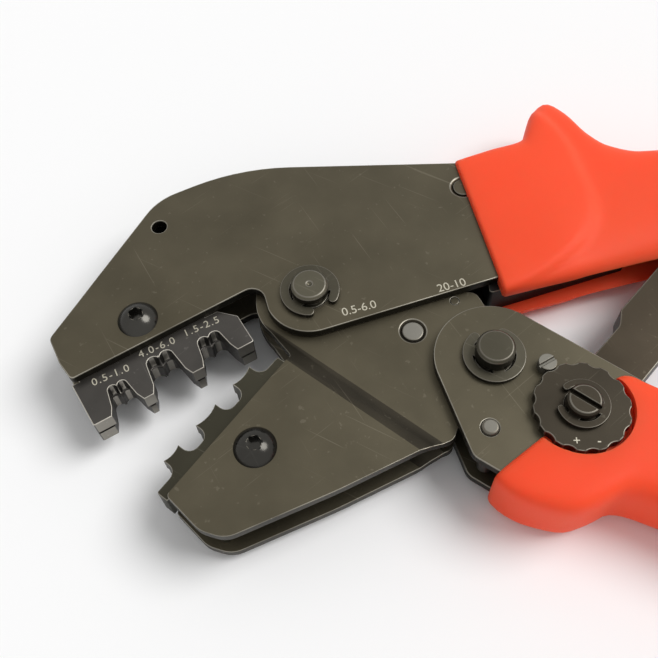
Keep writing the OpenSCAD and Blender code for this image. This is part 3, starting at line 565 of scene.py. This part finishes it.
for v in bm.verts:
    x, y, z = (v.co - pivot) / MM
    if abs(z) > SLOT + 0.5:
        crest = crest_x - (belly_curve if y < crest_y else back_curve) * (y - crest_y) ** 2
        ease = min(max((x - crest + step_wide / 2) / step_wide, 0.0), 1.0)
        fade = min(max((x - crest) / step_fade, 0.0), 1.0)
        v.co.z = pivot.z + (v.co.z - pivot.z) * (1 - step_share * ease * ease * (3 - 2 * ease) * (1 - fade))
soften_lips(bm)
fixed_grip = finished("fixed_grip", bm, (grip_red,), sharp=GRIP_SHARP)
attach(fixed_grip, "frame")
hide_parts("upper_grip")

# The moving grip bows away from the fixed one. Its front end has a finger stop below and a round
# pocket in its face for the adjusting wheel, and the arm's slot runs along its back.
bow_points = np.array(((59.5, -31.9), (100.0, -52.0), (144.7, -95.5)))


def bow_slice(t):
    """Belly and back of the moving grip on its bow, from the grip's middle line and its width."""
    place = bow_points[0] * (1 - t) ** 2 + bow_points[1] * 2 * t * (1 - t) + bow_points[2] * t * t
    way = (bow_points[1] - bow_points[0]) * (1 - t) + (bow_points[2] - bow_points[1]) * t
    side = np.array((-way[1], way[0])) / np.hypot(*way) * (10.2 - 0.4 * t)
    return (*(place - side), *(place + side))


lower_guides = np.array([
    (30.7, -37.2, 54.0, -19.3), (33.2, -39.9, 55.6, -18.7), (37.6, -42.3, 57.2, -18.9), (43.2, -43.6, 59.2, -20.0),
    (48.0, -42.2, 61.0, -21.0), (51.6, -40.6, 62.6, -22.0), *[bow_slice(t) for t in np.linspace(0.05, 1.0, 12)]])
lower_keys = lengths_along(lower_guides)
front_round, end_round = 0.8, 9.5
along = grip_stations(lower_keys[-1], front_round, end_round)
belly, back = faired_sides(lower_guides, lower_keys, along)
half = fair((0, 5, 14, 140), (6.7, 7.6, 7.98, 7.98), along)
fullness = fair((0, 8, 30, 140), (10, 6, 4, 3.0), along)
slot = np.interp(along, (0, 16, 49.9, 50), (0.66, 0.68, 0.06, 0.0))
belly, back, half = rounded_ends(belly, back, half, along, front_round, end_round)
bm = drawn_grip(zip(back, belly, half, fullness, slot))
soften_lips(bm)
moving_grip = finished("moving_grip", bm, (grip_red,), sharp=None)
pocket_r, pocket_tall, pocket_lift, sliver = 8.96, 4, 2.05, 0.03
pocket_bm = bmesh.new()
bmesh.ops.create_cone(pocket_bm, cap_ends=True, segments=96, radius1=pocket_r * MM, radius2=pocket_r * MM,
                      depth=pocket_tall * MM,
                      matrix=Matrix.Translation(spot(wheel_x, wheel_y, plate_face + pocket_lift)))
pocket = finished("pocket", pocket_bm, ())
cut = moving_grip.modifiers.new("pocket", "BOOLEAN")
cut.operation = "DIFFERENCE"
cut.solver = "EXACT"
cut.object = pocket
shaped = bpy.data.meshes.new_from_object(moving_grip.evaluated_get(bpy.context.evaluated_depsgraph_get()))
moving_grip.modifiers.clear()
moving_grip.data = shaped
bpy.data.objects.remove(pocket)
bm = bmesh.new()
bm.from_mesh(shaped)
bmesh.ops.dissolve_degenerate(bm, dist=sliver * MM, edges=bm.edges)
bm.to_mesh(shaped)
bm.free()
shaped.shade_smooth()
shaped.set_sharp_from_angle(angle=GRIP_SHARP)
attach(moving_grip, "handle")
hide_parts("lower_grip")

# The stage: a plain pale floor under a soft white sky, with one broad soft light from the right, seen
# from above the jaws as in the photograph.
floor_mesh = bpy.data.meshes.new("floor")
bm = bmesh.new()
bmesh.ops.create_grid(bm, x_segments=1, y_segments=1, size=3.0)
bm.to_mesh(floor_mesh)
bm.free()
floor = bpy.data.objects.new("floor", floor_mesh)
bpy.context.scene.collection.objects.link(floor)
pale_floor = bpy.data.materials.new("pale_floor")
pale_floor.use_nodes = True
floor_shader = pale_floor.node_tree.nodes["Principled BSDF"]
floor_shader.inputs["Base Color"].default_value = (0.92, 0.92, 0.92, 1.0)
floor_shader.inputs["Roughness"].default_value = 0.9
floor_mesh.materials.append(pale_floor)

world = bpy.data.worlds.new("soft_sky")
world.use_nodes = True
sky = world.node_tree
backdrop = sky.nodes["Background"]
backdrop.inputs["Color"].default_value = (1.0, 1.0, 1.0, 1.0)
path = sky.nodes.new("ShaderNodeLightPath")
seen = path.outputs["Is Camera Ray"]
for ray in ("Is Glossy Ray", "Is Transmission Ray"):
    either = sky.nodes.new("ShaderNodeMath")
    either.operation = "MAXIMUM"
    sky.links.new(seen, either.inputs[0])
    sky.links.new(path.outputs[ray], either.inputs[1])
    seen = either.outputs[0]
level = set_node(sky, "ShaderNodeMapRange", To_Min=0.5, To_Max=1.0)
sky.links.new(seen, level.inputs["Value"])
sky.links.new(level.outputs["Result"], backdrop.inputs["Strength"])
bpy.context.scene.world = world

soft_light = bpy.data.lights.new("soft_light", "SUN")
soft_light.energy = 2.2
soft_light.angle = math.radians(35.0)
sun = bpy.data.objects.new("soft_light", soft_light)
sun.rotation_euler = Vector((-0.6, -0.14, -0.8)).to_track_quat("-Z", "Y").to_euler()
bpy.context.scene.collection.objects.link(sun)

camera_data = bpy.data.cameras.new("camera")
camera_data.sensor_width = 36.0
camera_data.lens = 46.9
camera_data.clip_start = 0.01
camera = bpy.data.objects.new("camera", camera_data)
right, up = Vector((0.9993, 0, -0.0362)), Vector((0.0183, 0.8633, 0.5044))
backward = Vector((0.0313, -0.5047, 0.8627))
camera.matrix_world = Matrix((right, up, backward)).transposed().to_4x4()
camera.location = spot(8.52, -87.68, 141.5)
bpy.context.scene.collection.objects.link(camera)
bpy.context.scene.camera = camera
bpy.context.scene.view_settings.view_transform = "Standard"
